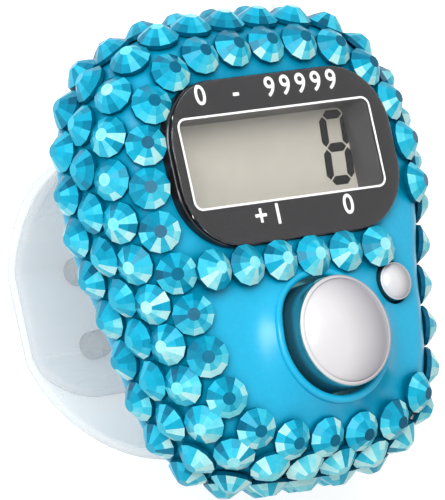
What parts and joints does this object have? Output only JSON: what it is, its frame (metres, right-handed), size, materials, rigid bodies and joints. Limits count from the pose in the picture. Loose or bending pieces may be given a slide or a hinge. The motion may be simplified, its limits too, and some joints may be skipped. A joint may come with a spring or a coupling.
{
  "type": "digital finger tally counter",
  "caption": "Squarish digital tally counter on a soft ring strap for a finger: crystal-set cyan case, small display, domed count button and reset button.",
  "frame": {"origin": "middle of the flat outer back of the finger strap, on which the counter stands with its face up", "axes": "+X to the display's right, +Y to the display's top, +Z out of the display's face"},
  "size_m": [0.035, 0.0422, 0.0371],
  "materials": {
    "cyan_abs": "semi-gloss moulded cyan plastic",
    "cyan_crystal": "faceted cut resin crystals, bright cyan, glued on",
    "printed_mask": "black-brown print under the lens with white numerals and frame lines",
    "clear_acrylic": "clear polished acrylic",
    "display_glass": "grey-beige liquid crystal glass",
    "black_abs": "matt black",
    "silvered_abs": "pearly silver lacquer",
    "clear_silicone": "clear frosted soft silicone",
    "milky_silicone": "milky, matt",
    "board_laminate": "green lacquered laminate",
    "steel": "plated",
    "carbon_rubber": "matt black conductive rubber",
    "black_epoxy": "cured epoxy blob",
    "foam": "soft grey foam",
    "ceramic": "small ceramic chip with tinned ends"
  },
  "bodies": {
    "counter_body": {"front_shell": "cyan_abs", "rear_cover": "cyan_abs", "case_screw_1": "steel", "case_screw_2": "steel", "case_screw_3": "steel", "case_screw_4": "steel", "display_lens": "clear_acrylic", "display_mask": "printed_mask", "lcd_frame": "black_abs", "lcd_front_glass": "display_glass", "lcd_rear_glass": "display_glass", "lcd_foam_pad": "foam", "zebra_strip": "carbon_rubber", "circuit_board": "board_laminate", "chip_blob": "black_epoxy", "smd_capacitor": "ceramic", "smd_resistor": "black_abs", "button_cell": "steel", "battery_negative_spring": "steel", "battery_positive_clip": "steel", "count_dome": "milky_silicone", "reset_dome": "milky_silicone", "upper_strap": "clear_silicone", "lower_strap": "clear_silicone", "crystal_ring_back": "cyan_crystal", "crystal_ring_side": "cyan_crystal", "crystal_ring_edge": "cyan_crystal", "crystal_ring_front": "cyan_crystal", "crystal_row_middle": "cyan_crystal"},
    "count_key": {"count_button": "silvered_abs", "count_carbon_pill": "carbon_rubber"},
    "reset_key": {"reset_button": "silvered_abs", "reset_carbon_pill": "carbon_rubber"},
    "strap_tip": {"upper_strap_end": "clear_silicone"}
  },
  "joints": [
    {"name": "count_press", "type": "slide", "parent": "counter_body", "child": "count_key", "axis": [0, 0, -1], "range_m": [0, 0.0012], "stiffness_N_per_m": 500, "springref_m": -0.0005, "deforming": ["count_dome"]},
    {"name": "reset_press", "type": "slide", "parent": "counter_body", "child": "reset_key", "axis": [0, 0, -1], "range_m": [0, 0.0005], "stiffness_N_per_m": 800, "springref_m": -0.0003, "deforming": ["reset_dome"]},
    {"name": "strap_release", "type": "hinge", "parent": "counter_body", "child": "strap_tip", "pos_m": [0, 0.00565, 0.00314], "axis": [-1, 0, 0], "range_deg": [0, 35], "stiffness_Nm_per_rad": 0.005, "springref_deg": -5.73}
  ]
}
